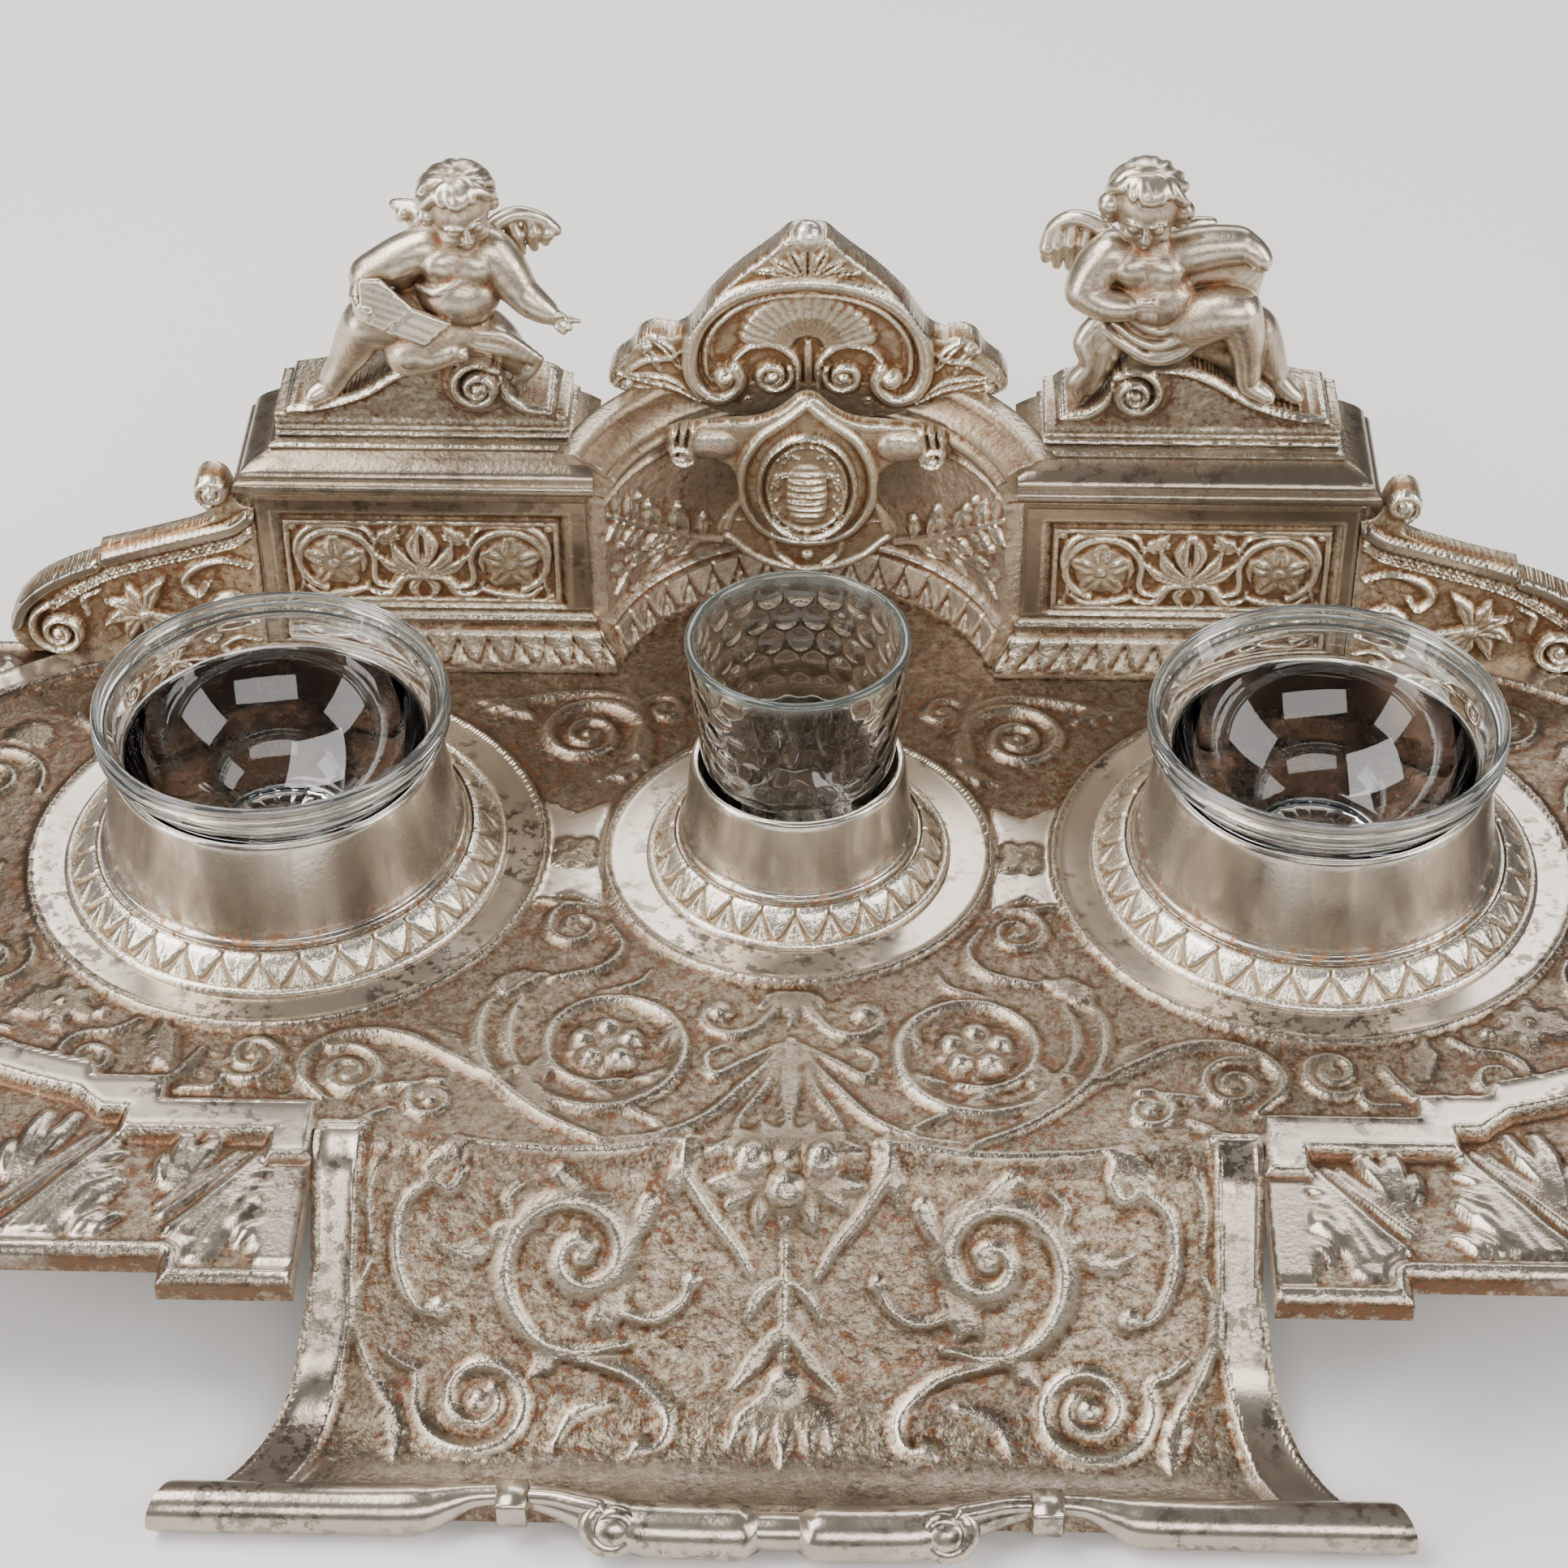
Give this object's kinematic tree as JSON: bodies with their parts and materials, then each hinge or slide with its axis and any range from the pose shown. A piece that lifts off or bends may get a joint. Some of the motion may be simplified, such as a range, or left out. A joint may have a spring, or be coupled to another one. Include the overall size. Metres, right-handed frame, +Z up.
{
  "type": "double inkstand",
  "caption": "Ornate cast desk inkstand with lift-out glass inkwell bowls in turned sleeves, a centre tumbler, a gallery with seated cherubs and a front pen trough.",
  "frame": {"origin": "bottom centre of the whole stand's box, on the table", "axes": "+X to the stand's right seen from the front, +Y to the back with the gallery, +Z up"},
  "size_m": [0.392, 0.2164, 0.137],
  "materials": {
    "plated_iron": "worn silver-nickel plate over iron, bright on raised work, brown in the recesses",
    "plated_casting": "worn silver plate, bright on raised work with tarnish and rust in the recesses",
    "plated_brass": "polished silver plate over turned brass, faint vertical streaks",
    "steel": "dull steel fasteners",
    "clear_glass": "clear pressed glass"
  },
  "bodies": {
    "stand": {"base_plate": "plated_iron", "cartouche_shield": "plated_casting", "centre_leaf_ring": "plated_casting", "centre_sleeve": "plated_brass", "cherub_nuts": "steel", "crest": "plated_casting", "crest_finial": "plated_casting", "crest_pins": "steel", "foot_screws": "steel", "gallery_nuts": "steel", "gallery_screws": "steel", "left_cherub": "plated_casting", "left_cornice": "plated_casting", "left_foot": "plated_iron", "left_leaf_ring": "plated_casting", "left_pedestal": "plated_casting", "left_pediment": "plated_casting", "left_relief_panel": "plated_casting", "left_sleeve": "plated_brass", "left_wing": "plated_casting", "medallion": "plated_casting", "niche_cornice": "plated_casting", "niche_wall": "plated_casting", "right_cherub": "plated_casting", "right_cornice": "plated_casting", "right_foot": "plated_iron", "right_leaf_ring": "plated_casting", "right_pedestal": "plated_casting", "right_pediment": "plated_casting", "right_relief_panel": "plated_casting", "right_sleeve": "plated_brass", "right_wing": "plated_casting", "shield_screw": "steel", "sleeve_screws": "steel", "wall_screws": "steel"},
    "left_bowl": {"left_bowl": "clear_glass"},
    "right_bowl": {"right_bowl": "clear_glass"},
    "tumbler": {"centre_tumbler": "clear_glass"}
  },
  "joints": [
    {"name": "left_bowl_lift", "type": "slide", "parent": "stand", "child": "left_bowl", "axis": [0, 0, 1], "range_m": [0, 0.05]},
    {"name": "right_bowl_lift", "type": "slide", "parent": "stand", "child": "right_bowl", "axis": [0, 0, 1], "range_m": [0, 0.05]},
    {"name": "tumbler_lift", "type": "slide", "parent": "stand", "child": "tumbler", "axis": [0, 0, 1], "range_m": [0, 0.05]}
  ]
}
